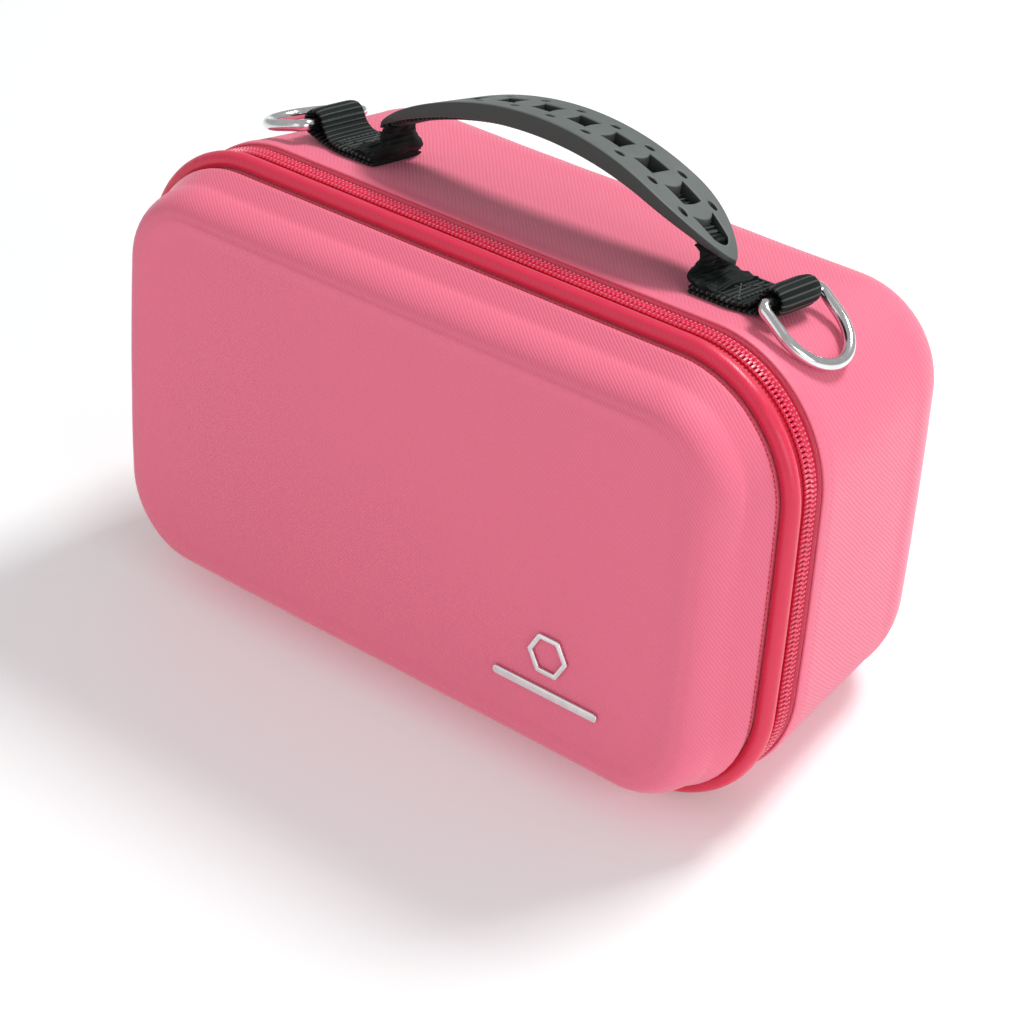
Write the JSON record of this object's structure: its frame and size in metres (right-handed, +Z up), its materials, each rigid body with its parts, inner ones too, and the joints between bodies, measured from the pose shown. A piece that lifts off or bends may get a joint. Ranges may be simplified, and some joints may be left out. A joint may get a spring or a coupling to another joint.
{
  "type": "miniature carry case",
  "caption": "Zip-up hard-shell carry case with a shallow front lid, deep body, rubber-gripped top handle and D-rings, for carrying game miniatures.",
  "frame": {"origin": "middle of the flat floor wall that the case stands on", "axes": "+X along the width, to the viewer's right from the front; -Y out of the lid's front face; +Z up from the floor. The case itself leans back 5 degrees on its drafted floor wall."},
  "size_m": [0.2245, 0.1177, 0.1548],
  "materials": {
    "shell_fabric": "fine diagonal twill",
    "lining_fabric": "brushed knit",
    "trim_fabric": "smooth woven binding",
    "zip_tape": "woven tape",
    "zip_coil": "nylon coil",
    "piping_cord": "plain",
    "webbing": "ribbed nylon webbing",
    "thread": "bonded thread",
    "ring_metal": "polished nickel",
    "grip_rubber": "matte moulded",
    "slider_metal": "nickel plated",
    "divider_fabric": "brushed loop knit",
    "hook_tape": "hook tape",
    "pocket_mesh": "open mesh",
    "elastic": "ribbed elastic",
    "emblem_metal": "bright silver"
  },
  "bodies": {
    "case_body": {"body_shell": "shell_fabric", "body_lining": "lining_fabric", "body_rim_binding": "trim_fabric", "zip_tape_body": "zip_tape", "zip_coil_body": "zip_coil", "zip_end_stops": "slider_metal", "hinge_strip_body": "trim_fabric", "strap_anchor_left": "webbing", "strap_anchor_right": "webbing", "anchor_stitches": "thread"},
    "lid": {"lid_shell": "shell_fabric", "lid_lining": "lining_fabric", "lid_piping_sleeve": "trim_fabric", "lid_piping_core": "piping_cord", "zip_tape_lid": "zip_tape", "zip_coil_lid": "zip_coil", "hinge_strip_lid": "trim_fabric", "lid_pocket_panel": "pocket_mesh", "lid_pocket_elastic": "elastic", "emblem_hexagon": "emblem_metal", "emblem_bar": "emblem_metal"},
    "handle": {"handle_grip": "grip_rubber", "handle_webbing": "webbing"},
    "d_ring_left": {"d_ring_left": "ring_metal"},
    "d_ring_right": {"d_ring_right": "ring_metal"},
    "slider": {"zip_slider": "slider_metal"},
    "pull": {"zip_pull": "slider_metal"},
    "divider": {"divider_board": "divider_fabric", "divider_hook_edge": "hook_tape"}
  },
  "joints": [
    {"name": "lid_hinge", "type": "hinge", "parent": "case_body", "child": "lid", "pos_m": [0, -0.02807, 0.00042], "axis": [1, 0, 0], "range_deg": [0, 30]},
    {"name": "handle_swing", "type": "hinge", "parent": "case_body", "child": "handle", "pos_m": [0.005, 0.00663, 0.12742], "axis": [1, 0, 0], "range_deg": [-42, 50]},
    {"name": "d_ring_left_swing", "type": "hinge", "parent": "case_body", "child": "d_ring_left", "pos_m": [-0.071, 0.0072, 0.12898], "axis": [0, 0.9854, -0.1702], "range_deg": [0, 145]},
    {"name": "d_ring_right_swing", "type": "hinge", "parent": "case_body", "child": "d_ring_right", "pos_m": [0.081, 0.0072, 0.12898], "axis": [0, -0.9854, 0.1702], "range_deg": [0, 165]},
    {"name": "slider_run", "type": "slide", "parent": "case_body", "child": "slider", "axis": [0, 0.0872, 0.9962], "range_m": [0, 0.04]},
    {"name": "pull_swing", "type": "hinge", "parent": "slider", "child": "pull", "pos_m": [-0.1128, -0.02424, 0.04421], "axis": [0, 0.9962, -0.0872], "range_deg": [0, 150]},
    {"name": "divider_slide", "type": "slide", "parent": "case_body", "child": "divider", "axis": [1, 0, 0], "range_m": [-0.065, 0.065]}
  ]
}
